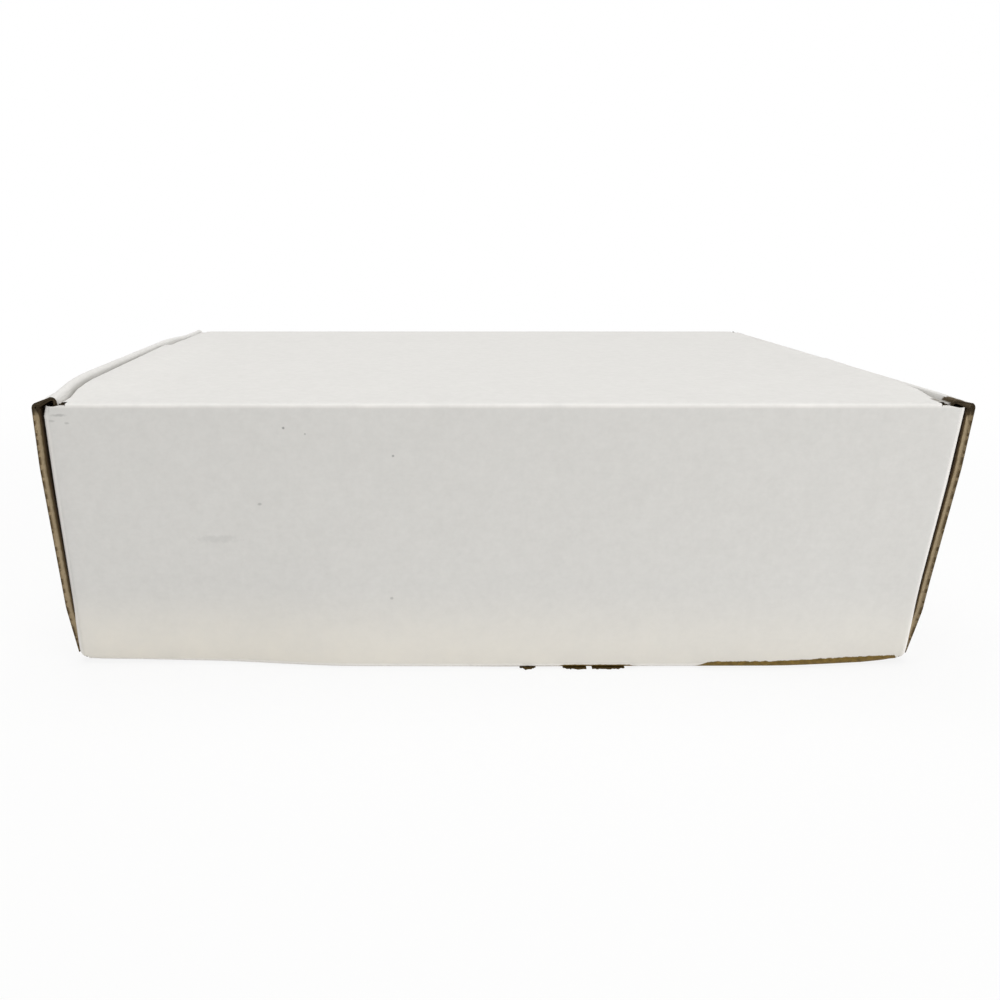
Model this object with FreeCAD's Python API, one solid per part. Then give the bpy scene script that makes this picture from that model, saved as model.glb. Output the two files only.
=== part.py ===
import FreeCAD, Part
import math
import os

Vector = FreeCAD.Vector

# Driving sizes in millimetres. X runs along the width, Y from the back wall to the front wall, Z up.
# The origin is the middle of the closed box's footprint, on the surface that it stands on.
board = 3.0                  # thickness of the corrugated board
layer_gap = 0.3              # air between layers of board that lie against each other
inside_width = 330.0         # between the two inner side walls
inside_depth = 229.0         # from the back wall to the front wall
inside_height = 103.0        # from the base to the underside of the lid

# Radii of the creases, on the outer face of the board
side_crease_radius = 6.0     # base to outer side wall, a soft wide crease
cross_crease_radius = 4.0    # base to back wall and front wall
ear_crease_radius = 4.0      # back and front wall to their ears
lid_crease_radius = 3.5      # lid to its tuck flap and dust flaps
roll_outer_radius = 3.0      # outer wall to the top of the roll
roll_inner_radius = 2.6      # top of the roll to the inner wall
knee_radius = 12.0           # gentle bend of the inner wall and of the dust flap beside it
sharpest_inside = 0.4        # no crease is tighter than this on its inner face
same_point = 1e-5            # an outline's points closer than this are one point

# Side walls: an outer wall that is rolled over the ears and comes down again as an inner wall
wall_lean = 0.6              # how far an outer side wall leans out by its top
end_recess = 1.0             # side walls stop this far behind the back and front faces
roll_width = 8.4             # across the rolled rim, narrower than three layers because it is crushed
roll_skin = 2.6              # crushed thickness of the board on top of the roll
shoulder_drop = 0.6          # the roll's outer corner is this far below the lid's top
ridge_rise = 3.6             # the roll's inner corner is this far above the lid's top
roll_run_in = 11.6           # the inner wall starts to lean out this far below the lid's top

# Ears of the back and front walls, held between the outer and the inner side walls
ear_length = 104.0
ear_top_drop = 13.0          # top edge of an ear below the lid's top
ear_slope = 5.0              # the ear's top edge falls by this much along its length
ear_corner_radius = 8.0

# Tabs of the inner walls, locked in slots of the base
tab_length = 40.0
tab_spacing = 114.0          # between the middles of the two tabs of one wall
tab_recess = 0.6             # a tab's end above the surface that the box stands on
slot_clearance = 0.4         # around a tab in its slot

# Front wall and the flaps of the lid
front_edge_drop = 1.7        # raw top edge of the front wall below the lid's top
tuck_drop = 40.0             # lower edge of the tuck flap below the lid's top
tuck_side_inset = 1.5        # tuck flap narrower than the lid, each side
tuck_taper = 5.0             # the tuck flap narrows by this much each side towards its edge
tuck_corner_radius = 14.0
dust_drop = 55.0             # lower edge of a dust flap below the lid's top
dust_front_gap = 9.0         # dust flap stops this far short of the front wall
dust_taper = 14.0            # a dust flap's ends slope in by this much
dust_corner_radius = 10.0

# Levels and faces that follow from these sizes
lid_top = board + inside_height + board
half_depth = inside_depth / 2 + board
inner_wall_x = inside_width / 2
ear_x = inner_wall_x + board + layer_gap
ear_face_x = ear_x + board
wall_face_x = ear_face_x + layer_gap + board
top_face_x = wall_face_x + wall_lean
roll_inner_x = top_face_x - roll_width
end_half_width = ear_face_x - ear_crease_radius
base_half_width = wall_face_x - side_crease_radius
lean_level = lid_top - roll_run_in
lean_slope = (roll_inner_x - inner_wall_x) / roll_run_in
ear_bottom = side_crease_radius + layer_gap
ear_top = lid_top - ear_top_drop
corner_top = lid_top - front_edge_drop

# A dust flap lies against the slope of the inner wall, and its crease ends the flat of the lid
flap_face_x = inner_wall_x - layer_gap
flap_corner_x = flap_face_x + lean_slope * roll_run_in
flap_turn = math.pi / 2 + math.atan(lean_slope)
lid_half_width = flap_corner_x - lid_crease_radius * math.tan(flap_turn / 2)

# The lid turns about the outer line of its crease, so both sides of the crease are mitred
mitre_offset = layer_gap / math.sqrt(2)
lid_reach = inside_depth + board - layer_gap


def in_xz(a, b):
    """Point of an outline that is drawn across the width."""
    return Vector(a, 0, b)


def in_yz(a, b):
    """Point of an outline that is drawn from back to front."""
    return Vector(0, a, b)


def in_xy(a, b):
    """Point of an outline that is drawn flat."""
    return Vector(a, b, 0)


def rounded_outline(corners, radii):
    """Closed outline of straight runs whose corners are rounded: corner points and (through, end) arcs."""
    steps = []
    for index, (corner, radius) in enumerate(zip(corners, radii)):
        if radius == 0:
            steps.append(corner)
            continue
        here = Vector(*corner)
        before = (Vector(*corners[index - 1]) - here).normalize()
        after = (Vector(*corners[(index + 1) % len(corners)]) - here).normalize()
        half_angle = before.getAngle(after) / 2
        start = here + before * (radius / math.tan(half_angle))
        end = here + after * (radius / math.tan(half_angle))
        middle = here + (before + after).normalize() * (radius / math.sin(half_angle) - radius)
        steps.append((start.x, start.y))
        steps.append(((middle.x, middle.y), (end.x, end.y)))
    return steps


def bent_sheet(corners, radii, skins=None):
    """Outline of a bent sheet from the corners of its outer face. Its thickness, which may differ from
    run to run, lies to the left of the way that the corners run, and each bend is round on both faces."""
    skins = skins or [board] * (len(corners) - 1)
    runs = [(Vector(*end) - Vector(*start)).normalize() for start, end in zip(corners, corners[1:])]
    lefts = [Vector(-run.y, run.x) for run in runs]
    first = Vector(*corners[0]) + lefts[0] * skins[0]
    last = Vector(*corners[-1]) + lefts[-1] * skins[-1]
    inner, inner_radii = [(first.x, first.y)], [0]
    for index, radius in enumerate(radii):
        here, there = lefts[index], lefts[index + 1]
        skin, next_skin = skins[index], skins[index + 1]
        turn = here.x * there.y - here.y * there.x
        x = corners[index + 1][0] + (skin * there.y - next_skin * here.y) / turn
        y = corners[index + 1][1] + (next_skin * here.x - skin * there.x) / turn
        inner.append((x, y))
        inner_radii.append(max(radius - skin, sharpest_inside) if turn > 0 else radius + skin)
    inner.append((last.x, last.y))
    inner_radii.append(0)
    return rounded_outline(corners + inner[::-1], [0, *radii, 0] + inner_radii[::-1])


def prism(steps, to_space, low, high):
    """Solid of an outline, swept straight across its plane from one distance to another."""
    across = to_space(1, 0).cross(to_space(0, 1))
    across = Vector(abs(across.x), abs(across.y), abs(across.z))
    here = to_space(*steps[0])
    edges = []
    for step in steps[1:] + [steps[0]]:
        if isinstance(step[0], tuple):
            through, end = to_space(*step[0]), to_space(*step[1])
            edges.append(Part.Arc(here, through, end).toShape())
        else:
            end = to_space(*step)
            if end.distanceToPoint(here) < same_point:
                continue
            edges.append(Part.LineSegment(here, end).toShape())
        here = end
    solid = Part.Face(Part.Wire(edges)).extrude(across * (high - low))
    solid.translate(across * low)
    return solid


def block(low, high):
    """Box between two corners."""
    size = Vector(*high) - Vector(*low)
    return Part.makeBox(size.x, size.y, size.z, Vector(*low))


def mirrored_x(shape):
    """The like piece on the other side of the box."""
    return shape.mirror(Vector(0, 0, 0), Vector(1, 0, 0))


def mirrored_y(shape):
    """The like piece at the other end of the box."""
    return shape.mirror(Vector(0, 0, 0), Vector(0, 1, 0))


def tab_places():
    """Middles of the tabs of one side wall."""
    return -tab_spacing / 2, tab_spacing / 2


def base_panel():
    """Flat base between the creases, with a slot for each tab of the inner walls."""
    half_y = half_depth - cross_crease_radius
    panel = block((-base_half_width, -half_y, 0), (base_half_width, half_y, board))
    half_slot = tab_length / 2 + slot_clearance
    for y in tab_places():
        slot = block((inner_wall_x - slot_clearance, y - half_slot, 0),
                     (inner_wall_x + board + slot_clearance, y + half_slot, board))
        panel = panel.cut([slot, mirrored_x(slot)])
    return panel


def side_wall():
    """Outer wall, rolled rim and inner wall of the right side, with its two tabs, as one bent sheet.
    Past the ends of the inner wall the outer wall and the rim run on, over the corners of the box."""
    shoulder = (top_face_x, lid_top - shoulder_drop)
    ridge = (roll_inner_x + lean_slope * ridge_rise, lid_top + ridge_rise)
    up_and_over = [(base_half_width, 0), (wall_face_x, 0), shoulder, ridge]
    radii = [side_crease_radius, roll_outer_radius, roll_inner_radius]
    skins = [board, board, roll_skin]
    foot_level = board + layer_gap

    inner_half = half_depth - ear_crease_radius - layer_gap
    knee = (inner_wall_x, lean_level)
    foot = (inner_wall_x, foot_level)
    whole = bent_sheet([*up_and_over, knee, foot], [*radii, knee_radius], [*skins, board, board])
    wall = prism(whole, in_xz, -inner_half, inner_half)

    wall_half = half_depth - end_recess
    end_level = corner_top + layer_gap + board * lean_slope
    rim_end = (roll_inner_x + lean_slope * (end_level - lid_top), end_level)
    over_ends = bent_sheet([*up_and_over, rim_end], radii, [*skins, board])
    wall = wall.fuse(prism(over_ends, in_xz, -wall_half, wall_half))

    for y in tab_places():
        wall = wall.fuse(block((inner_wall_x, y - tab_length / 2, tab_recess),
                               (inner_wall_x + board, y + tab_length / 2, foot_level)))
    return wall


def ear():
    """Right ear of the front wall with its upright crease, running back inside the outer side wall."""
    crease_y = half_depth - ear_crease_radius
    bent = bent_sheet([(ear_face_x, crease_y), (ear_face_x, half_depth), (end_half_width, half_depth)],
                      [ear_crease_radius])
    crease = prism(bent, in_xy, ear_bottom, corner_top)
    above_ear = block((end_half_width, crease_y, ear_top), (wall_face_x, half_depth - board, lid_top))
    end_y = crease_y - ear_length
    outline = rounded_outline([(crease_y, ear_top), (end_y, ear_top - ear_slope),
                               (end_y, ear_bottom), (crease_y, ear_bottom)],
                              [0, ear_corner_radius, ear_corner_radius, 0])
    return crease.cut(above_ear).fuse(prism(outline, in_yz, ear_x, ear_face_x))


def end_wall(half_width, top):
    """Front wall up to the height of its edge, with its crease to the base and both ears.
    Beside the given half width the wall's corners stay low, under the rolled rims."""
    crease_y = half_depth - cross_crease_radius
    bent = bent_sheet([(crease_y, 0), (half_depth, 0), (half_depth, top)], [cross_crease_radius])
    wall = prism(bent, in_yz, -end_half_width, end_half_width)
    over_corner = block((half_width, crease_y, corner_top), (wall_face_x, half_depth, lid_top))
    right = ear()
    return wall.cut([over_corner, mirrored_x(over_corner)]).fuse([right, mirrored_x(right)])


def back_wall():
    """Back wall: the same as the front wall, but mitred along its top under the lid's rear edge."""
    low = lid_top - mitre_offset - board
    wedge = [(half_depth, low + board), (half_depth, lid_top), (half_depth - board, lid_top),
             (half_depth - board, low)]
    mitre = prism(wedge, in_yz, -half_depth - wall_face_x, half_depth + wall_face_x)
    return mirrored_y(end_wall(lid_half_width, lid_top).cut(mitre))


def tray():
    """Base, back wall, front wall and both rolled side walls: one folded sheet."""
    right = side_wall()
    front_wall = end_wall(end_half_width, corner_top)
    sheet = base_panel().fuse([back_wall(), front_wall, right, mirrored_x(right)])
    return sheet.removeSplitter()


def lid_and_tuck():
    """Lid panel from the mitred hinge crease to the front, and the tuck flap inside the front wall.
    The flap's lower corner swings on the same circle as the front crease, so it clears the wall."""
    front_y = lid_reach - half_depth
    rear_top = (-half_depth + mitre_offset, lid_top)
    rear_bottom = (rear_top[0] + board, lid_top - board)
    crease_y, crease_z = front_y - lid_crease_radius, lid_top - lid_crease_radius
    foot_y = math.sqrt(lid_reach ** 2 - tuck_drop ** 2) - half_depth
    foot_z = lid_top - tuck_drop
    to_crease = math.hypot(crease_y - foot_y, crease_z - foot_z)
    tilt = math.atan2(crease_y - foot_y, crease_z - foot_z) + math.asin(lid_crease_radius / to_crease)
    corner_y = foot_y + tuck_drop * math.tan(tilt)
    flat_end = corner_y - lid_crease_radius * math.tan(math.pi / 4 + tilt / 2)
    panel = prism([rear_top, (flat_end, lid_top), (flat_end, lid_top - board), rear_bottom],
                  in_yz, -lid_half_width, lid_half_width)

    half_tuck = lid_half_width - tuck_side_inset
    half_foot = half_tuck - tuck_taper
    bent = bent_sheet([(foot_y, foot_z), (corner_y, lid_top), (flat_end, lid_top)], [lid_crease_radius])
    low = foot_z - board
    corners = [(-half_tuck, lid_top), (-half_tuck, crease_z), (-half_foot, low),
               (half_foot, low), (half_tuck, crease_z), (half_tuck, lid_top)]
    shape = rounded_outline(corners, [0, 0, tuck_corner_radius, tuck_corner_radius, 0, 0])
    flap = prism(bent, in_yz, -half_tuck, half_tuck).common(prism(shape, in_xz, 0, half_depth))
    return panel.fuse(flap)


def dust_flap():
    """Right dust flap: its crease beside the lid, the slope under the rolled rim, and the flap below."""
    bottom = lid_top - dust_drop
    crease_z = lid_top - lid_crease_radius
    bent = bent_sheet([(flap_face_x, bottom), (flap_face_x, lean_level), (flap_corner_x, lid_top),
                       (lid_half_width, lid_top)], [knee_radius, lid_crease_radius])
    rear = -half_depth + board + layer_gap
    front = half_depth - board - dust_front_gap
    corners = [(rear, lid_top), (front, lid_top), (front, crease_z), (front - dust_taper, bottom),
               (rear + dust_taper, bottom), (rear, crease_z)]
    shape = rounded_outline(corners, [0, 0, 0, dust_corner_radius, dust_corner_radius, 0])
    return prism(bent, in_xz, rear, front).common(prism(shape, in_yz, 0, top_face_x))


def lid():
    """Lid panel, tuck flap and both dust flaps: the part of the sheet that turns on the hinge crease."""
    right = dust_flap()
    return lid_and_tuck().fuse([right, mirrored_x(right)]).removeSplitter()


os.makedirs("parts", exist_ok=True)
for name, make in (("tray", tray), ("lid", lid)):
    shape = make()
    if len(shape.Solids) != 1 or not shape.isValid():
        raise ValueError(f"{name} is not one valid solid")
    solid = shape.Solids[0]
    solid.exportStep(f"parts/{name}.step")
    box = solid.BoundBox
    print(f"{name}: volume {solid.Volume:.0f} mm3, X {box.XMin:.2f} to {box.XMax:.2f}, "
          f"Y {box.YMin:.2f} to {box.YMax:.2f}, Z {box.ZMin:.2f} to {box.ZMax:.2f}")
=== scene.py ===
import math
import bmesh
import bpy
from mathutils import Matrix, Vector


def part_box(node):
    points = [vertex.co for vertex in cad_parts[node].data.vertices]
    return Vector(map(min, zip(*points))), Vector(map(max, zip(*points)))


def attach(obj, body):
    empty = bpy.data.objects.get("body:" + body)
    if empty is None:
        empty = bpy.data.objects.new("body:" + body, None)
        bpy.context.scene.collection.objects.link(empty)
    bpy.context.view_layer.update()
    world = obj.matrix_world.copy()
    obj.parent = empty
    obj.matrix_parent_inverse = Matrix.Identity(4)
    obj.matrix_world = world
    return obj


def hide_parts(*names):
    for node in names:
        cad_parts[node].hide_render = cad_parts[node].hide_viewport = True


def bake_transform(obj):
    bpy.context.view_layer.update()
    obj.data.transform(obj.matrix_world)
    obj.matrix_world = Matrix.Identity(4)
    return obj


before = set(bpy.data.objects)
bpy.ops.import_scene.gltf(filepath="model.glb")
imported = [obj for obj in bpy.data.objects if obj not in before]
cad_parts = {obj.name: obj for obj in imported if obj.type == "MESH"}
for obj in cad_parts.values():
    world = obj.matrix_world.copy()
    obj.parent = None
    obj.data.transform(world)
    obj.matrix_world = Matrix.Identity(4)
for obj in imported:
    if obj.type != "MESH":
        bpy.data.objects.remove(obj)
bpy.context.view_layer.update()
mm = 0.001
X, Y, Z = Vector((1, 0, 0)), Vector((0, 1, 0)), Vector((0, 0, 1))

# The room: a pale floor that runs on into a white background, a soft lamp low to the camera's right, a
# broader one high over the box, and an even white sky. The camera looks down a little on the hinge side.
scene = bpy.context.scene
scene.view_settings.view_transform = "Standard"

camera_data = bpy.data.cameras.new("camera")
camera_data.lens = 30.6
camera_data.shift_x = 0.082
camera_data.shift_y = 0.020
camera_data.clip_start = 0.01
camera = bpy.data.objects.new("camera", camera_data)
camera.location = (-31.0 * mm, -430.0 * mm, 171.5 * mm)
look_down = 19.1
camera.rotation_euler = (math.radians(90 - look_down), 0, 0)
scene.collection.objects.link(camera)
scene.camera = camera


def lamp(name, place, aim, size, power):
    """A square soft lamp that faces a point of the box."""
    data = bpy.data.lights.new(name, "AREA")
    data.size = size
    data.energy = power
    thing = bpy.data.objects.new(name, data)
    thing.location = place
    thing.rotation_euler = (Vector(aim) - Vector(place)).to_track_quat("-Z", "Y").to_euler()
    scene.collection.objects.link(thing)


lamp("key_lamp", (1.3, -1.0, 0.4), (0, 0, 0.05), 1.0, 9.5)
lamp("top_lamp", (-0.2, 0.05, 2.0), (0, 0, 0.05), 1.8, 28.6)


class Value:
    """A socket of a material's nodes, so that shader maths is written as plain sums."""

    def __init__(self, finish, socket):
        self.finish, self.socket = finish, socket

    def maths(self, operation, *values):
        """A sum of any kind that the nodes know, on values or plain numbers."""
        return self.finish.node("ShaderNodeMath", {"operation": operation}, dict(enumerate(values)))

    def __abs__(self):
        return self.maths("ABSOLUTE", self)

    def __add__(self, other):
        return self.maths("ADD", self, other)

    def __sub__(self, other):
        return self.maths("SUBTRACT", self, other)

    def __rsub__(self, other):
        return self.maths("SUBTRACT", other, self)

    def __mul__(self, other):
        return self.maths("MULTIPLY", self, other)

    __radd__, __rmul__ = __add__, __mul__

    def larger(self, other):
        """The larger one of two values."""
        return self.maths("MAXIMUM", self, other)

    def step(self, low, high):
        """0 below low and 1 above high, with a smooth rise between, or a fall if low is the higher."""
        return self.finish.node("ShaderNodeMapRange", {"interpolation_type": "SMOOTHSTEP"},
                                {"Value": self, "From Min": low, "From Max": high})


class Finish:
    """A material that is put together node by node."""

    def __init__(self, name):
        self.material = bpy.data.materials.new(name)
        self.material.use_nodes = True
        self.tree = self.material.node_tree
        self.tree.nodes.clear()

    def node(self, kind, settings=None, sockets=None, output=0):
        """A new node with its settings and the values of its sockets. Gives one of its outputs."""
        node = self.tree.nodes.new(kind)
        for name, value in (settings or {}).items():
            setattr(node, name, value)
        for name, value in (sockets or {}).items():
            if isinstance(value, Value):
                self.tree.links.new(value.socket, node.inputs[name])
            else:
                node.inputs[name].default_value = value
        return Value(self, node.outputs[output])

    def mix(self, factor, first, second, how="MIX"):
        """Two colours mixed by a factor."""
        return self.node("ShaderNodeMix", {"data_type": "RGBA", "blend_type": how},
                         {0: factor, 6: first, 7: second}, 2)

    def noise(self, place, scale, detail=2.0, roughness=0.5):
        return self.node("ShaderNodeTexNoise", None,
                         {"Vector": place, "Scale": scale, "Detail": detail, "Roughness": roughness})

    def stretch(self, place, scale):
        """The same place, squeezed or stretched along the axes."""
        return self.node("ShaderNodeMapping", None, {"Vector": place, "Scale": scale})

    def axes(self, place):
        """The three parts of a vector, each as a number."""
        first = self.node("ShaderNodeSeparateXYZ", None, {"Vector": place})
        return [Value(self, socket) for socket in first.socket.node.outputs]

    def output(self, shader):
        surface = self.tree.nodes.new("ShaderNodeOutputMaterial")
        self.tree.links.new(shader.socket, surface.inputs["Surface"])
        return self.material

    def dress(self, colour, roughness, sheen, relief, depth, strength):
        """The surface of a paper, with the fine relief of its fibres as a bump of some depth."""
        bump = self.node("ShaderNodeBump", None,
                         {"Strength": strength, "Distance": depth, "Height": relief})
        return self.output(self.node("ShaderNodeBsdfPrincipled", None, {
            "Base Color": colour, "Roughness": roughness, "Specular IOR Level": sheen, "Normal": bump}))


floor_white = (0.84, 0.84, 0.83, 1)
floor_glow_share = 0.86
floor = Finish("pale_floor")
seen = floor.node("ShaderNodeLightPath", output=0)
mirrored = floor.node("ShaderNodeLightPath", output=3)
through = floor.node("ShaderNodeLightPath", output=6)
bare = floor.node("ShaderNodeBsdfDiffuse", None, {"Color": floor_white})
glow = floor.node("ShaderNodeEmission", None, {"Color": (1, 1, 1, 1), "Strength": 1.0})
away = floor.node("ShaderNodeVectorMath", {"operation": "LENGTH"},
                  {0: floor.node("ShaderNodeTexCoord", output=3)}, 1)
shown = floor.node("ShaderNodeMixShader", None,
                   {0: seen.larger(mirrored.larger(through))
                    * (away.step(0.2, 0.7) * (1 - floor_glow_share) + floor_glow_share), 1: bare, 2: glow})
floor_material = floor.output(shown)
bpy.ops.object.select_all(action="DESELECT")
bpy.ops.mesh.primitive_plane_add(size=30)
floor_plane = bpy.context.object
floor_plane.name = "floor"
floor_plane.data.materials.append(floor_material)

sky_light = 0.392
world = bpy.data.worlds.new("white_sky")
world.use_nodes = True
scene.world = world
sky_nodes, sky_links = world.node_tree.nodes, world.node_tree.links
sky_path = sky_nodes.new("ShaderNodeLightPath")
sky_strength = sky_nodes.new("ShaderNodeMapRange")
sky_strength.inputs["To Min"].default_value = sky_light
sky_strength.inputs["To Max"].default_value = 1.0
sky_links.new(sky_path.outputs["Is Camera Ray"], sky_strength.inputs["Value"])
sky_links.new(sky_strength.outputs[0], sky_nodes["Background"].inputs["Strength"])
sky_nodes["Background"].inputs["Color"].default_value = (1, 1, 1, 1)


# The board: single-wall corrugated, three millimetres thick. Its outer liner is bleached white paper,
# matt and faintly mottled; its inner liner and the fluted paper between are brown kraft, bare at each cut.
board = 3.0 * mm
flute_pitch = 6.5
liner_width, flute_slope, flute_depth = 0.40, 0.45, 0.7
bend_degrees, grid_cell = 12, 8
lid_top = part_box("lid")[1][2]
lean_low, lean_slope = 35.0, 0.039


def white_liner():
    """Bleached liner: cloudy blotches, fine fibres, specks, a smudge and the scuffs of handling, with
    painted light and shade: warm bounce light low down, highlights on the creases and folds, the shade of
    three dents, and shade at the torn end of the right roll.
    """
    paper = Finish("white_liner")
    place = paper.node("ShaderNodeTexCoord", output=3)
    across, along, up = paper.axes(place)
    back = along.step(-116.5 * mm, -117.4 * mm)
    clouds = paper.noise(place, 75, 3, 0.55)
    mottle = paper.noise(place, 260, 2, 0.55)
    grain = paper.noise(place, 520, 2, 0.6)
    fibres = paper.noise(paper.stretch(place, (220, 900, 900)), 1, 2, 0.5)
    tone = (clouds - 0.5) * 0.18 + (mottle - 0.5) * 0.34 + (grain - 0.5) * 0.16 + (fibres - 0.5) * 0.10
    colour = paper.mix(tone + 0.5, (0.68, 0.668, 0.640, 1), (0.86, 0.846, 0.818, 1))
    # Low down the walls are a warmer white, and more so towards the left: painted warm light bounced up
    # from the table, with some warm tint of the paper.
    low = (up.step(38 * mm, 3 * mm) * (0.52 + clouds * 0.5)
           * (0.60 + across.step(160 * mm, -150 * mm) * 0.35))
    colour = paper.mix(low, colour, (0.96, 0.91, 0.81, 1))
    # Marks on the back wall: five specks, a smudge, and the painted shade of three dents at the top left
    # corner. Each is given by its place across and up, its half width and half height, and how dark it is.
    specks = [(-81.6, 99.8, 0.5, 0.5, 0.75), (-73.5, 97.5, 0.4, 0.4, 0.5), (-40.5, 89.0, 0.5, 0.5, 0.7),
              (-92.1, 69.8, 0.8, 0.5, 0.4), (-41.4, 31.0, 0.6, 0.5, 0.35)]
    smudge = [(-110, 55.4, 7.5, 1.4, 0.12)]
    painted_dent_shadows = [(-165.3, 104.6, 2.4, 0.5, 0.35), (-168.2, 102.4, 1.3, 0.4, 0.25),
              (-162.6, 101.6, 0.9, 0.4, 0.3)]
    marks_and_dent_shade = None
    for x, z, width, height, strength in specks + smudge + painted_dent_shadows:
        offset = paper.node("ShaderNodeVectorMath", {"operation": "SUBTRACT"},
                            {0: place, 1: (x * mm, 0, z * mm)})
        scaled = paper.node("ShaderNodeVectorMath", {"operation": "MULTIPLY"},
                            {0: offset, 1: (1 / (width * mm), 0, 1 / (height * mm))})
        reach = paper.node("ShaderNodeVectorMath", {"operation": "LENGTH"}, {0: scaled}, 1)
        spot = (reach + (grain - 0.5) * 1.5).step(1.5, 0.4) * strength
        marks_and_dent_shade = spot if marks_and_dent_shade is None else marks_and_dent_shade.larger(spot)
    colour = paper.mix(marks_and_dent_shade * back, colour, (0.22, 0.22, 0.21, 1))
    # Painted highlights on the creases and folds: the foot crease, the hinge crease and the folds of the
    # end walls are made paler, where their rounded bends catch the light.
    end = abs(along).step(111 * mm, 114.5 * mm)
    foot_highlight = up.step(0.2 * mm, 0.8 * mm) * up.step(2.8 * mm, 2.0 * mm) * (0.6 + clouds)
    hinge_highlight = (up.step(lid_top - 2.0 * mm, lid_top - 1.2 * mm)
                * up.step(lid_top, lid_top - 0.5 * mm) * clouds)
    # The right fold leans out with its side wall, and its painted highlight with it.
    lean = across.step(0, 1 * mm) * (up - lean_low * mm).larger(0.0) * lean_slope
    fold_highlight = (abs(across) - lean).step(168.6 * mm, 170.0 * mm)
    painted_crease_highlight = foot_highlight.larger(fold_highlight.larger(hinge_highlight))
    colour = paper.mix(end * painted_crease_highlight * 0.85, colour, (1.0, 0.97, 0.93, 1))
    # The foot of the back wall, where the liner is rubbed off and the kraft below it shows dark brown.
    # Each strip is the height in mm that it reaches from the table, and fades out at its ends.
    ragged = paper.noise(paper.stretch(place, (1, 0, 0)), 260, 3, 0.7)
    broad_strip = (across.step(79 * mm, 90 * mm) * across.step(169 * mm, 165 * mm)
                   * (3.5 + across.step(100 * mm, 150 * mm) * 0.8))
    thin_strip = across.step(-25 * mm, 5 * mm) * across.step(61 * mm, 58 * mm)
    short_strip = across.step(26 * mm, 29 * mm) * across.step(58 * mm, 55 * mm) * 0.9
    rubbed = (broad_strip + thin_strip + short_strip) * mm
    torn = ((rubbed * (0.75 + ragged * 0.5) - up).step(-0.15 * mm, 0.25 * mm)
            * along.step(-112 * mm, -115 * mm))
    dark_bare_kraft = paper.mix(grain, (0.055, 0.034, 0.004, 1), (0.33, 0.205, 0.035, 1))
    colour = paper.mix(torn, colour, dark_bare_kraft)
    # The near end of the right roll, where the liner is torn back from the crushed fold; the bare kraft
    # there is painted near black as the shade in the crushed end.
    tear = along + (grain - 0.5) * 4 * mm + (across - 166 * mm) * 0.55
    roll_end = (across.step(163.5 * mm, 165 * mm) * up.step(lid_top - 0.4 * mm, lid_top + 0.4 * mm)
                * tear.step(-108.5 * mm, -110 * mm) * across.step(174 * mm, 172 * mm))
    shaded_bare_kraft = paper.mix(grain, (0.020, 0.013, 0.006, 1), (0.16, 0.11, 0.05, 1))
    colour = paper.mix(roll_end, colour, shaded_bare_kraft)
    relief = clouds * 0.5 + grain * 0.35 + fibres * 0.35
    return paper.dress(colour, 0.62 + (clouds - 0.5) * 0.12, 0.28, relief, 0.6 * mm, 0.12)


def kraft_liner():
    """Brown inner liner, with darker and paler fibres, and painted shade, near black, in the deep gaps at
    the folds of the corners.
    """
    paper = Finish("kraft_liner")
    place = paper.node("ShaderNodeTexCoord", output=3)
    across, along, up = paper.axes(place)
    clouds = paper.noise(place, 55, 4, 0.6)
    grain = paper.noise(place, 700, 3, 0.6)
    fibres = paper.noise(paper.stretch(place, (260, 1500, 1500)), 1, 3, 0.6)
    tone = (clouds - 0.5) * 0.5 + (grain - 0.5) * 0.35 + (fibres - 0.5) * 0.6
    colour = paper.mix(tone + 0.5, (0.30, 0.185, 0.092, 1), (0.56, 0.385, 0.225, 1))
    # Painted shade: the kraft in the narrow gaps between the side walls and the folds of the end walls is
    # darkened nearly to black.
    corner = abs(along).step(107 * mm, 112 * mm) * abs(across).step(165.5 * mm, 167.5 * mm)
    colour = paper.mix(corner * 0.9, colour, (0.028, 0.017, 0.008, 1))
    relief = grain * 0.5 + fibres * 0.5
    return paper.dress(colour, 0.78 + (clouds - 0.5) * 0.1, 0.2, relief, 0.5 * mm, 0.25)


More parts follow.
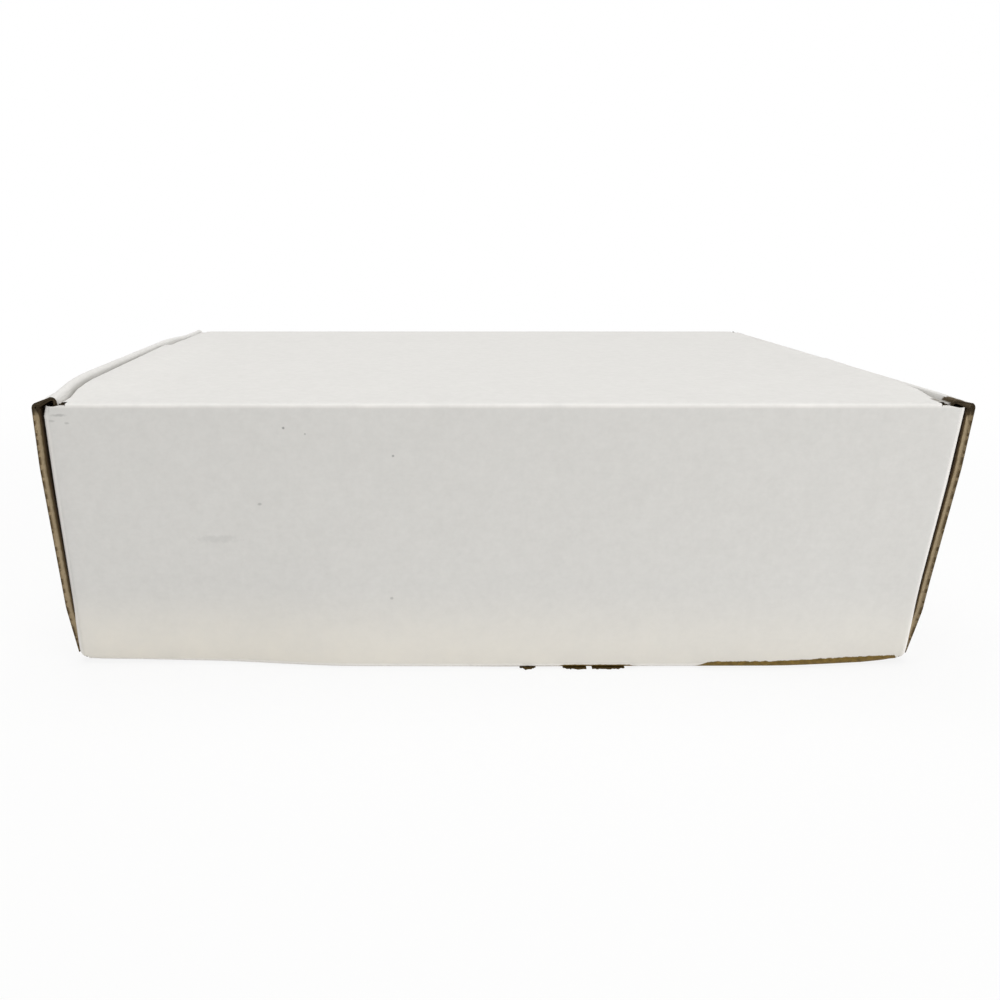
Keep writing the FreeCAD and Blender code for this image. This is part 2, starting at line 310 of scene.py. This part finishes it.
def cut_edge():
    """The cut through the board. Across the flutes it shows their wave between the two liners, with
    painted shade in the hollows, and along them the flank of one flute, with painted shading across it. It
    is frayed, with the shade of its nicks painted dark, and it is painted dark where the roll is crushed,
    for crushed fibres and for the shade deep in the roll's end."""
    paper = Finish("cut_edge")
    place = paper.node("ShaderNodeTexCoord", output=3)
    across, along, up = paper.axes(place)
    length, depth = paper.axes(paper.node("ShaderNodeUVMap", {"uv_map": "cut_edge"}))[:2]
    clouds = paper.noise(place, 160, 3, 0.6)
    grain = paper.noise(place, 1500, 3, 0.65)
    nicks = paper.noise(paper.stretch(place, (0, 1, 1)), 420, 1, 0.5)
    turns = length * (2 * math.pi)
    ribbon = abs(depth - turns.maths("SINE", turns) * 0.34 - 0.5)
    liners = abs(depth - 0.5).step(0.36, 0.42)
    wave = ribbon.step(0.17, 0.08).larger(liners)
    # Painted shade: the hollows of the flutes, between the wave and the two liners, are near black.
    waved = paper.mix(wave * (0.7 + grain * 0.5), (0.030, 0.019, 0.010, 1), (0.44, 0.32, 0.20, 1))
    # Painted shading on the flank of a flute: bright in its middle and dark towards both liners, as on a
    # rounded edge.
    hump_shading = abs(depth - 0.42 + (nicks - 0.5) * 0.25).step(0.52, 0.10) * (0.75 + clouds * 0.3)
    # Painted shade of the nicks of the serrated cut: dark ticks along the outer liner.
    nick_shade = depth.step(0.36, 0.12) * nicks.step(0.46, 0.54)
    hump_shading = hump_shading * (1 - nick_shade * 0.95)
    flank = paper.mix(hump_shading, (0.075, 0.050, 0.018, 1), (0.55, 0.44, 0.28, 1))
    colour = paper.mix(length.step(-0.4, -0.6), waved, flank)
    colour = paper.mix((grain - 0.5) * 0.6 + 0.15, colour, (0.16, 0.10, 0.055, 1))
    # Painted shade, with crushed fibres: the cut is darkened nearly to black near the top at both ends of
    # each roll.
    crushed = (up.step(lid_top - 5.5 * mm, lid_top - 2.5 * mm) * abs(along).step(111 * mm, 114 * mm)
               * abs(across).step(159 * mm, 162 * mm))
    colour = paper.mix(crushed * (0.65 + clouds * 0.4), colour, (0.035, 0.024, 0.013, 1))
    return paper.dress(colour, 0.85 + (clouds - 0.5) * 0.1, 0.15, grain, 0.4 * mm, 0.5)


def torn_paper():
    """Kraft that is torn off its flutes: dark and fluffy."""
    paper = Finish("torn_kraft")
    place = paper.node("ShaderNodeTexCoord", output=3)
    clouds = paper.noise(place, 300, 3, 0.6)
    grain = paper.noise(place, 1800, 3, 0.65)
    colour = paper.mix(clouds * 0.6 + grain * 0.4, (0.030, 0.019, 0.004, 1), (0.13, 0.082, 0.022, 1))
    return paper.dress(colour, 0.85 + (clouds - 0.5) * 0.1, 0.1, grain, 0.4 * mm, 0.6)


board_finishes = [white_liner(), kraft_liner(), cut_edge()]
torn_kraft = torn_paper()
white_face, kraft_face, cut_face = 0, 1, 2


def near(first, second):
    """Whether two places along an axis are the same."""
    return abs(first - second) < 0.02 * mm


def choose(kind, test):
    """Selects only the vertices, edges or faces of the sheet in edit mode whose points all pass a test."""
    mesh = bpy.context.edit_object.data
    bpy.ops.mesh.select_mode(type=kind)
    bpy.ops.mesh.select_all(action="DESELECT")
    sheet = bmesh.from_edit_mesh(mesh)
    for item in {"VERT": sheet.verts, "EDGE": sheet.edges, "FACE": sheet.faces}[kind]:
        points = [item] if kind == "VERT" else item.verts
        item.select_set(all(test(*point.co) for point in points))
    sheet.select_flush_mode()
    bmesh.update_edit_mesh(mesh)


def choose_rim(test):
    """Selects only the free edges of the skin whose points all pass a test."""
    choose("EDGE", test)
    mesh = bpy.context.edit_object.data
    sheet = bmesh.from_edit_mesh(mesh)
    for edge in sheet.edges:
        if not edge.is_boundary:
            edge.select_set(False)
    bmesh.update_edit_mesh(mesh)


def leave_only(test):
    """Hides all points of the sheet but those that pass a test, so that the next warps spare the rest."""
    choose("VERT", test)
    bpy.ops.mesh.hide(unselected=True)


def warp(step, room, falloff="SMOOTH"):
    """Moves what is chosen by a step, and draws along what lies within some room of it."""
    bpy.ops.transform.translate(value=[part * mm for part in step], use_proportional_edit=True,
                                proportional_edit_falloff=falloff, proportional_size=room * mm)


def move(step):
    """Moves what is chosen by a step, and nothing else."""
    bpy.ops.transform.translate(value=[part * mm for part in step])


def run_on(step):
    """Runs the sheet on from the chosen edge by a step."""
    bpy.ops.mesh.extrude_region_move(TRANSFORM_OT_translate={"value": step})


def split(point, across, whole=True, drop=False):
    """Cuts the sheet, or what is selected of it, along a plane, and may drop what lies past it."""
    if whole:
        bpy.ops.mesh.select_all(action="SELECT")
    bpy.ops.mesh.bisect(plane_co=point, plane_no=across, clear_outer=drop)


def carry_on(corners, radii, first_axis, second_axis):
    """Runs the chosen edge on along a line of corners, flat between them and bent round at each."""
    spin_axis = -first_axis.cross(second_axis)
    corners = [Vector(corner) * mm for corner in corners]
    here = corners[0]
    for before, corner, after, radius in zip(corners, corners[1:], corners[2:], radii):
        run_in, run_out = (corner - before).normalized(), (after - corner).normalized()
        turn = math.atan2(run_in.x * run_out.y - run_in.y * run_out.x, run_in.dot(run_out))
        cut = radius * mm * math.tan(abs(turn) / 2)
        start = corner - run_in * cut
        step = start - here
        if step.length > 0.05 * mm:
            run_on(first_axis * step.x + second_axis * step.y)
        side = math.copysign(radius * mm, turn)
        centre = start + Vector((-run_in.y, run_in.x)) * side
        bends = max(2, round(abs(math.degrees(turn)) / bend_degrees))
        bpy.ops.mesh.spin(steps=bends, angle=turn, axis=spin_axis,
                          center=first_axis * centre.x + second_axis * centre.y)
        here = corner + run_out * cut
    step = corners[-1] - here
    run_on(first_axis * step.x + second_axis * step.y)


# The tray's base: the middle of the one die-cut sheet, flat on the table, white face down. Two slots
# beside each long crease take the tabs of the rolled side walls.
half_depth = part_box("tray")[1][1] / mm
lid_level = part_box("lid")[1][2] / mm
foot_radius = 3.2
base_edge_x = 168.0
side_half = 113.3
end_half = 167.3
rear_crease = half_depth - foot_radius
slot_inner, slot_outer = 164.6, 168.0
tab_half, tab_middle, slot_room = 20.0, 57.0, 0.4

bpy.ops.object.select_all(action="DESELECT")
bpy.ops.mesh.primitive_plane_add(size=mm, enter_editmode=True)
tray = bpy.context.object
tray.name = "tray_sheet"
bpy.ops.transform.resize(value=(base_edge_x, 2 * rear_crease, 1))
bpy.ops.transform.translate(value=(base_edge_x / 2 * mm, 0, 0))
split((end_half * mm, 0, 0), X)
split((slot_inner * mm, 0, 0), X)
for end in (-1, 1):
    split((0, end * side_half * mm, 0), Y)
    for middle in (-tab_middle, tab_middle):
        split((0, (middle + end * (tab_half + slot_room)) * mm, 0), Y)
choose("FACE", lambda x, y, z: x > (end_half - 0.1) * mm and abs(y) > (side_half - 0.1) * mm)
bpy.ops.mesh.delete(type="FACE")

# Back wall and front wall: they rise from the base's short creases, and each has an ear at both ends
# that folds in behind the rolled side wall. The back wall runs on into the lid, over its crease.
hinge_start = lid_level - 3.4
corner_top, front_top = lid_level - 0.6, lid_level - 2.2
ear_radius = 4.0
ear_face = end_half + ear_radius
wall_notch = 8.0
fold_low, fold_foot = 1.9, 4.75
ear_low, ear_high = 22.0, 96.0
ear_end = 9.5
ear_tuck, ear_slope, ear_corner = 4.0, 5.0, 7.0
ear_bends = 7
lid_half = 162.4


def raise_end_wall(end, top):
    """One end wall with its right ear. End is -1 at the back and 1 at the front."""
    face, crease = end * half_depth, end * rear_crease
    choose("EDGE", lambda x, y, z: near(y, crease * mm) and near(z, 0) and x < (end_half + 0.01) * mm)
    carry_on([(crease, 0), (face, 0), (face, wall_notch)], [foot_radius], Y, Z)
    for level in (ear_low, ear_high, hinge_start):
        sheet = bmesh.from_edit_mesh(bpy.context.edit_object.data)
        height = max(edge.verts[0].co.z for edge in sheet.edges if edge.select)
        run_on((0, 0, level * mm - height))
    choose_rim(lambda x, y, z: near(x, end_half * mm) and end * y > (half_depth - 0.4) * mm
               and z > fold_low * mm)
    fold = face - end * ear_radius
    bpy.ops.mesh.spin(steps=ear_bends, angle=-end * math.pi / 2, axis=-Z,
                      center=(end_half * mm, fold * mm, 0))
    for step in range(1, ear_bends + 1):
        turn = math.pi / 2 * step / ear_bends
        rise = (fold_foot - fold_low) * (1 - math.cos(turn))
        choose("VERT", lambda x, y, z: z < (wall_notch + 0.01) * mm and x > (end_half + 0.02) * mm
               and abs(math.atan2(x - end_half * mm, end * (y - fold * mm)) - turn) < 0.03)
        bpy.ops.transform.resize(value=(1, 1, 1 - rise / (wall_notch - fold_low)),
                                 center_override=(0, 0, wall_notch * mm))
    choose("EDGE", lambda x, y, z: near(x, ear_face * mm) and near(y, fold * mm)
           and z < (ear_high + 0.1) * mm)
    run_on((0, -end * ear_tuck * mm, 0))
    choose("EDGE", lambda x, y, z: near(x, ear_face * mm) and near(y, (fold - end * ear_tuck) * mm)
           and (ear_low - 0.1) * mm < z)
    run_on((0, (end * ear_end - fold + end * ear_tuck) * mm, 0))
    choose("VERT", lambda x, y, z: near(y, end * ear_end * mm) and z > (ear_high - 0.1) * mm and x > 0)
    move((0, 0, -ear_slope))
    choose("VERT", lambda x, y, z: near(y, end * ear_end * mm) and near(x, ear_face * mm))
    bpy.ops.mesh.bevel(affect="VERTICES", offset=ear_corner * mm, segments=5)
    # The back wall runs on into the lid, so only its corner beside the lid is raised here.
    raised_from = (lid_half - 0.01) if end < 0 else -1
    choose_rim(lambda x, y, z: near(z, hinge_start * mm) and end * y > (fold * end - 0.1) * mm
               and x > raised_from * mm)
    run_on((0, 0, (top - hinge_start) * mm))


split((lid_half * mm, 0, 0), X)
raise_end_wall(-1, corner_top)
raise_end_wall(1, front_top)

# Side walls: each rises from a long crease, rolls over the ears at its rim and comes down again inside,
# where two tabs lock it in the base. The roll turns the sheet over, so the inside is white as well.
side_corners = [(base_edge_x, 0), (171.8, 0), (173.5, 24), (175.6, 84), (175.3, lid_level - 0.6),
                (166.3, lid_level + 3.9), (165.1, lid_level - 11.6), (165.0, board / mm + 0.3)]
side_radii = [4.0, 60.0, 60.0, 2.4, 2.0, 12.0]
rim_end_y = half_depth - 1.0
roll_leg_end = lid_level - 0.3
foot_trim, foot_trim_room = 2.6, 24
tab_end = 0.6

choose("EDGE", lambda x, y, z: near(x, base_edge_x * mm) and near(z, 0))
carry_on(side_corners, side_radii, X, Z)
choose("FACE", lambda x, y, z: x > 164.9 * mm and z > 60 * mm and abs(y) < (side_half + 0.1) * mm)
split((0, 0, roll_leg_end * mm), Z, whole=False)
for end in (-1, 1):
    choose_rim(lambda x, y, z: near(y, end * side_half * mm)
               and (x > 171.6 * mm or z > (roll_leg_end - 0.1) * mm))
    run_on((0, end * (rim_end_y - side_half) * mm, 0))
    choose("VERT", lambda x, y, z: near(y, end * rim_end_y * mm) and z < 8 * mm)
    bpy.ops.transform.translate(value=(0, -end * foot_trim * mm, 0), use_proportional_edit=True,
                                proportional_size=foot_trim_room * mm,
                                use_proportional_connected=True)
foot_x, foot = side_corners[-1]
for middle in (-tab_middle, tab_middle):
    choose_rim(lambda x, y, z: near(z, foot * mm) and near(x, foot_x * mm)
               and abs(y - middle * mm) < (tab_half + slot_room + 0.1) * mm)
    run_on((0, 0, (tab_end - foot) * mm))
choose("FACE", lambda x, y, z: (slot_inner - 0.01) * mm < x < (slot_outer + 0.01) * mm and near(z, 0)
       and abs(abs(y) - tab_middle * mm) < (tab_half + slot_room + 0.1) * mm)
bpy.ops.mesh.delete(type="FACE")


def finish_skin(sheet, grid):
    """Both halves of a sheet from its right half, and an even grid of points for its warps."""
    bpy.ops.object.mode_set(mode="OBJECT")
    mirror = sheet.modifiers.new("other_half", "MIRROR")
    mirror.use_clip = True
    bpy.ops.object.modifier_apply(modifier=mirror.name)
    bpy.ops.object.mode_set(mode="EDIT")
    bpy.ops.mesh.select_mode(type="VERT")
    bpy.ops.mesh.select_all(action="SELECT")
    bpy.ops.mesh.remove_doubles(threshold=0.01 * mm)
    for across, low, high in grid:
        count = round((high - low) / grid_cell)
        for index in range(1, count):
            split(across * ((low + (high - low) * index / count) * mm), across)
    bpy.ops.mesh.select_all(action="SELECT")
    bpy.ops.mesh.normals_make_consistent(inside=False)


def lean_out(sheet):
    """The right side leans out towards its top: a cage round the sheet is pulled at its upper corner."""
    bpy.ops.object.mode_set(mode="OBJECT")
    bpy.ops.object.add(type="LATTICE", location=(0, 0, (lean_low + lid_level) / 2 * mm))
    cage = bpy.context.object
    cage.scale = (2 * lean_reach * mm, 1, (lid_level - lean_low) * mm)
    cage.data.points_u, cage.data.points_v, cage.data.points_w = 3, 2, 2
    for kind in ("u", "v", "w"):
        setattr(cage.data, "interpolation_type_" + kind, "KEY_LINEAR")
    for point in cage.data.points:
        if point.co.x > 0.1 and point.co.z > 0.1:
            point.co_deform.x += lean_right / (2 * lean_reach)
    bpy.context.view_layer.update()
    lean = sheet.modifiers.new("lean", "LATTICE")
    lean.object = cage
    bpy.context.view_layer.objects.active = sheet
    bpy.ops.object.modifier_apply(modifier=lean.name)
    bpy.data.objects.remove(cage)
    sheet.select_set(True)
    bpy.ops.object.mode_set(mode="EDIT")


def give_board(sheet, outward, crushed):
    """Turns the skin into board: its thickness, the two liners at each cut and the paper between."""
    test_point, direction = outward
    bpy.ops.object.mode_set(mode="OBJECT")
    nearest = min(sheet.data.polygons, key=lambda face: (face.center - Vector(test_point)).length)
    if nearest.normal.dot(Vector(direction)) < 0:
        sheet.data.flip_normals()
    for finish in board_finishes:
        sheet.data.materials.append(finish)
    share = sheet.vertex_groups.new(name="board_left")
    for point in sheet.data.vertices:
        share.add([point.index], crushed(*(point.co / mm)), "REPLACE")
    solid = sheet.modifiers.new("board", "SOLIDIFY")
    solid.thickness = board
    solid.offset = -1
    solid.vertex_group = share.name
    solid.use_quality_normals = True
    solid.material_offset = kraft_face
    solid.material_offset_rim = cut_face
    outer_points = len(sheet.data.vertices)
    bpy.ops.object.modifier_apply(modifier=solid.name)
    # The flutes run across the box and up its side walls. A cut shows their wave where it crosses them,
    # so where it runs along the box or up one of the end walls, and elsewhere the flank of a flute.
    cuts = sheet.data.uv_layers.new(name="cut_edge")
    for face in sheet.data.polygons:
        if face.material_index == cut_face:
            points = [sheet.data.vertices[index].co / mm for index in face.vertices]
            way = "z" if abs(face.center.y) > 109.6 * mm and abs(face.center.x) < 162.5 * mm else "y"
            places = [getattr(point, way) for point in points]
            first, second = [n for n, index in enumerate(face.vertices) if index < outer_points][:2]
            run = abs(places[first] - places[second]) / (points[first] - points[second]).length
            for corner, index, position in zip(face.loop_indices, face.vertices, places):
                along = -1.0 if run < 0.6 else 100 + position / flute_pitch
                cuts.data[corner].uv = (along, 0.0 if index < outer_points else 1.0)
    bpy.ops.object.mode_set(mode="EDIT")
    bpy.ops.mesh.select_mode(type="FACE")
    mesh = bmesh.from_edit_mesh(sheet.data)
    for face in mesh.faces:
        face.select_set(face.material_index == cut_face)
    bmesh.update_edit_mesh(sheet.data)
    bpy.ops.mesh.inset(thickness=liner_width * mm, depth=0, use_even_offset=False)
    bpy.ops.mesh.inset(thickness=flute_slope * mm, depth=-flute_depth * mm, use_even_offset=False)
    bpy.ops.object.mode_set(mode="OBJECT")
    bpy.ops.object.shade_smooth_by_angle(angle=math.radians(32))


# The tray as folded by hand: the foot of the back wall bows out and the base's corners lift a little. The
# left rim stands up in its middle, both rims sink towards the front, and the right side leans out.
lean_reach, lean_right = 180.0, 1.9
foot_bow, foot_bow_start, foot_bow_end, foot_bow_room = 3.8, -60, 115, 60
corner_lift = 1.1
roll_sink = 2.8
ridge_inner, ridge_outer = 165.0, 172.5
left_rise, left_rise_start, left_rise_end, left_rise_room = 2.3, -72, 42, 60
left_shift, right_drop = (-1.2, 0, 0.3), 0.9
fold_lean_level, fold_lean_room = 72, 45

finish_skin(tray, [(X, -176, 176), (Y, -117, 117), (Z, 6, lid_level)])
choose("VERT", lambda x, y, z: foot_bow_start * mm < x < foot_bow_end * mm
       and y < -113 * mm and z < 4 * mm)
warp((0, -foot_bow, 0), foot_bow_room)
for side, room in ((-1, 80), (1, 14)):
    choose("VERT", lambda x, y, z: side * x > (end_half - 0.1) * mm
           and abs(y) > (side_half - 0.1) * mm and z < 2 * mm)
    warp((0, 0, corner_lift), room)
leave_only(lambda x, y, z: abs(x) > 163.5 * mm and z > (lid_level - 4) * mm)
choose("VERT", lambda x, y, z: y > (rim_end_y - 1) * mm)
warp((0, 0, -roll_sink), 2 * half_depth, "LINEAR")
bpy.ops.mesh.reveal(select=False)
leave_only(lambda x, y, z: ridge_inner * mm < -x < ridge_outer * mm and z > (lid_level - 1) * mm)
choose("VERT", lambda x, y, z: left_rise_start * mm < y < left_rise_end * mm)
warp((0, 0, left_rise), left_rise_room)
bpy.ops.mesh.reveal(select=False)
# Each corner of the back wall is pushed down, from a place past its fold outwards.
for side, past_fold, drop in ((-1, 1.2, 1.6), (-1, 2.8, 1.4), (1, 2.8, 0.8)):
    choose("VERT", lambda x, y, z: (corner_top - 3) * mm < z < (corner_top + 0.1) * mm and y < -113 * mm
           and (end_half + past_fold) * mm < side * x < (ear_face + 0.1) * mm)
    move((0, 0, -drop))
# The right ridge lies lower, and the left one leans out over its wall.
choose("VERT", lambda x, y, z: 166.5 * mm < x < ridge_outer * mm and z > (lid_level - 4) * mm)
move((0, 0, -right_drop))
choose("VERT", lambda x, y, z: 165.9 * mm < -x < 171.8 * mm
       and z > (lid_level + 1.2 - roll_sink) * mm)
move(left_shift)
# The upper part of each fold of the back wall stands out a little.
leave_only(lambda x, y, z: (end_half - 0.1) * mm < abs(x) < (ear_face + 0.1) * mm
           and z < (corner_top + 0.01) * mm and y < -108 * mm)
for side, lean in ((-1, 0.7), (1, 1.3)):
    choose("VERT", lambda x, y, z: side * x > 0 and z > fold_lean_level * mm)
    warp((side * lean, 0, 0), fold_lean_room, "LINEAR")
bpy.ops.mesh.reveal(select=False)
# Three ends of the rims are crushed: both rear ones, and the right one at the front.
leave_only(lambda x, y, z: ridge_inner * mm < abs(x) < ridge_outer * mm and z > (lid_level - 1) * mm)
for side, end, inward, drop, room in ((1, -1, 0.3, 0.7, 8), (-1, -1, 1.8, 1.0, 26),
                                      (1, 1, 0, 1.0, 22)):
    choose("VERT", lambda x, y, z: side * x > 166.5 * mm and end * y > (rim_end_y - 1) * mm)
    warp((-side * inward, 0, -drop), room, "LINEAR")
bpy.ops.mesh.reveal(select=False)
lean_out(tray)


def roll_crush(x, y, z):
    """The share of the board's thickness that is left: the rim is pressed flat where it is rolled, and
    most of all at its rear end."""
    away = math.hypot(abs(x) - 168.5, z - lid_level - 1.5)
    rear_end = min(max((-y - 108) / 8, 0), 1)
    pressed = 0.66 - 0.22 * rear_end
    return pressed + (1 - pressed) * min(max((away - 3) / 6, 0), 1)


give_board(tray, ((0, 0, 0), (0, 0, -1)), roll_crush)
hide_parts("tray")
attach(tray, "tray")

# Torn kraft: three frayed tongues of the base's brown liner that stick out from under the back wall, where
# the foot of the box has been dragged over rough ground.
tongue_board = 0.5
tongue_level = tongue_board + 0.05
tongue_root, tongue_place = 4.0, half_depth + 3.0
tongue_fray, tongue_corner = 0.5, 1.3
for number, (low, high, reach) in enumerate(((10.8, 16.8, 1.3), (28.4, 38.0, 0.9), (40.4, 53.6, 0.8))):
    bpy.ops.object.select_all(action="DESELECT")
    bpy.ops.mesh.primitive_grid_add(x_subdivisions=round((high - low) / 0.6), y_subdivisions=3, size=mm,
                                    enter_editmode=True)
    tongue = bpy.context.object
    tongue.name = "torn_kraft_%d" % (number + 1)
    bpy.ops.transform.resize(value=(high - low, reach + tongue_root, 1))
    move(((low + high) / 2, -(tongue_place + (reach - tongue_root) / 2), tongue_level))
    choose("VERT", lambda x, y, z: y < -(tongue_place - 0.6) * mm)
    bpy.ops.transform.vertex_random(offset=tongue_fray * mm, uniform=1.0, seed=number + 4)
    choose("VERT", lambda x, y, z: min(x - low * mm, high * mm - x) < tongue_corner * mm
           and y < -(tongue_place + 1) * mm)
    move((0, tongue_corner, 0))
    bpy.ops.mesh.select_all(action="SELECT")
    bpy.ops.transform.resize(value=(1, 1, 0), center_override=(0, 0, tongue_level * mm))
    bpy.ops.mesh.normals_make_consistent(inside=False)
    bpy.ops.object.mode_set(mode="OBJECT")
    if tongue.data.polygons[0].normal.z < 0:
        tongue.data.flip_normals()
    tongue.data.materials.append(torn_kraft)
    thick = tongue.modifiers.new("board", "SOLIDIFY")
    thick.thickness = tongue_board * mm
    thick.offset = -1
    bpy.ops.object.modifier_apply(modifier=thick.name)
    bpy.ops.object.transform_apply(location=True, rotation=True, scale=True)
    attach(tongue, "tray")


# The lid: the rear of the sheet, folded over the top. Its tuck flap drops inside the front wall and its
# two dust flaps drop inside the rolled side walls, so that only the flat white panel shows.
lid_start, lid_front = -half_depth + 4.0, 110.0
flap_bend = 3.5
flap_crease = lid_level - flap_bend
tuck_drop, tuck_taper, tuck_round = 40.0, 5.0, 12.0
tuck_half = lid_half - 1.5
tuck_corners = [(lid_front, lid_level), (114.54, lid_level), (110.72, lid_level - tuck_drop)]
dust_drop, dust_taper, dust_round = 55.0, 14.0, 9.0
dust_front, dust_rear = 105.5, -114.2
dust_corners = [(lid_half, lid_level), (165.4, lid_level), (164.6, lid_level - 11.6),
                (164.6, lid_level - dust_drop)]
dust_radii = [1.4, 12.0]

bpy.ops.object.select_all(action="DESELECT")
bpy.ops.mesh.primitive_plane_add(size=mm, enter_editmode=True)
lid = bpy.context.object
lid.name = "lid_sheet"
bpy.ops.transform.resize(value=(lid_half, lid_front - lid_start, 1))
move((lid_half / 2, (lid_front + lid_start) / 2, lid_level))
split((tuck_half * mm, 0, 0), X)
split((0, dust_front * mm, 0), Y)
choose("EDGE", lambda x, y, z: near(y, lid_front * mm) and x < (tuck_half + 0.01) * mm)
carry_on(tuck_corners, [flap_bend], Y, Z)
choose("FACE", lambda x, y, z: y > 109 * mm and z < (flap_crease + 0.01) * mm)
slant = Vector((tuck_taper, 0, flap_crease - lid_level + tuck_drop))
split((tuck_half * mm, 0, flap_crease * mm), Y.cross(slant).normalized(), whole=False, drop=True)
choose("VERT", lambda x, y, z: z < (lid_level - tuck_drop + 1) * mm and x > 100 * mm)
bpy.ops.mesh.bevel(affect="VERTICES", offset=tuck_round * mm, segments=6)
choose("EDGE", lambda x, y, z: near(x, lid_half * mm) and y < (dust_front + 0.01) * mm)
carry_on(dust_corners, dust_radii, X, Z)
choose_rim(lambda x, y, z: near(y, lid_start * mm) and x > (lid_half - 0.01) * mm)
run_on((0, (dust_rear - lid_start) * mm, 0))
for edge_y, way in ((dust_rear, -1), (dust_front, 1)):
    choose("FACE", lambda x, y, z: x > 162.5 * mm and z < (lid_level - dust_radii[0]) * mm)
    split((0, edge_y * mm, flap_crease * mm),
          Vector((0, way * (dust_drop - flap_bend), -dust_taper)).normalized(), whole=False, drop=True)
choose("VERT", lambda x, y, z: z < (lid_level - dust_drop + 0.1) * mm and x > 160 * mm)
bpy.ops.mesh.bevel(affect="VERTICES", offset=dust_round * mm, segments=6)
finish_skin(lid, [(X, -167, 167), (Y, lid_start, 112), (Z, 54, lid_level)])
# The panel sags a little in its middle. Its side edges ride up with the rolls: each rise holds from one
# place along the box to another, and fades out within some room of that.
lid_sag, lid_sag_room = 0.7, 90
choose("VERT", lambda x, y, z: abs(x - 20 * mm) < 30 * mm and abs(y) < 20 * mm and z > 100 * mm)
warp((0, 0, -lid_sag), lid_sag_room)
for side, rise, low, high, room in ((-1, 1.6, -85, 55, 26), (-1, 1.6, -101, 25, 11),
                                    (-1, 0.8, 68, 82, 22), (1, 1.2, -88, 40, 30),
                                    (1, 1.0, -104, -10, 12)):
    choose("VERT", lambda x, y, z: side * x > 158 * mm and low * mm < y < high * mm
           and z > (lid_level - 3) * mm)
    warp((0, 0, rise), room)
lean_out(lid)


def crease_crush(x, y, z):
    """The share of the board's thickness that is left: the creases of the flaps are pressed in."""
    away = min(math.hypot(abs(x) - 164.8, z - lid_level + 0.6), math.hypot(y - 113.5, z - lid_level + 1))
    return 0.5 + 0.5 * min(max((away - 1.5) / 5, 0), 1)


give_board(lid, ((0, 0, lid_level * mm), (0, 0, 1)), crease_crush)
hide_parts("lid")
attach(lid, "lid")

# The hinge crease: the strip of the same sheet where the back wall turns into the lid. The board is
# pressed thin along the line, where the real box bends when it is opened; the strip is built closed.
crease_radius = 1.5
crease_cells = 41
crease_inner = half_depth - board / mm
crease_under = lid_level - board / mm
bpy.ops.object.select_all(action="DESELECT")
bpy.ops.mesh.primitive_plane_add(size=mm, rotation=(0, math.pi / 2, 0), enter_editmode=True)
hinge = bpy.context.object
bpy.ops.object.mode_set(mode="OBJECT")
bpy.ops.object.transform_apply(location=False, rotation=True, scale=False)
bpy.ops.object.mode_set(mode="EDIT")
hinge.name = "hinge_crease"
bpy.ops.mesh.select_all(action="SELECT")
bpy.ops.transform.resize(value=(1, board / mm, crease_under - hinge_start))
move((-lid_half, (-half_depth - crease_inner) / 2, (crease_under + hinge_start) / 2))
choose("EDGE", lambda x, y, z: near(z, crease_under * mm))
run_on((0, 0, board))
choose("EDGE", lambda x, y, z: near(y, -crease_inner * mm) and z > (crease_under - 0.01) * mm)
run_on((0, (lid_start + crease_inner) * mm, 0))
choose("VERT", lambda x, y, z: near(y, -half_depth * mm) and near(z, lid_level * mm))
bpy.ops.mesh.bevel(affect="VERTICES", offset=crease_radius * mm, segments=5)
bpy.ops.mesh.select_all(action="SELECT")
run_on((2 * lid_half * mm, 0, 0))
bpy.ops.mesh.select_all(action="SELECT")
bpy.ops.mesh.normals_make_consistent(inside=False)
for index in range(1, crease_cells):
    split(((-lid_half + 2 * lid_half * index / crease_cells) * mm, 0, 0), X)
lean_out(hinge)
bpy.ops.object.mode_set(mode="OBJECT")
for finish in board_finishes:
    hinge.data.materials.append(finish)
for face in hinge.data.polygons:
    middle, normal = face.center / mm, face.normal
    if abs(normal.x) > 0.9:
        face.material_index = cut_face
    elif middle.y < -crease_inner - 0.1 and normal.y < -0.1 or middle.z > lid_level - 2 and normal.z > 0.1:
        face.material_index = white_face
    else:
        face.material_index = kraft_face
bpy.ops.object.shade_smooth_by_angle(angle=math.radians(40))
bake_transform(hinge)
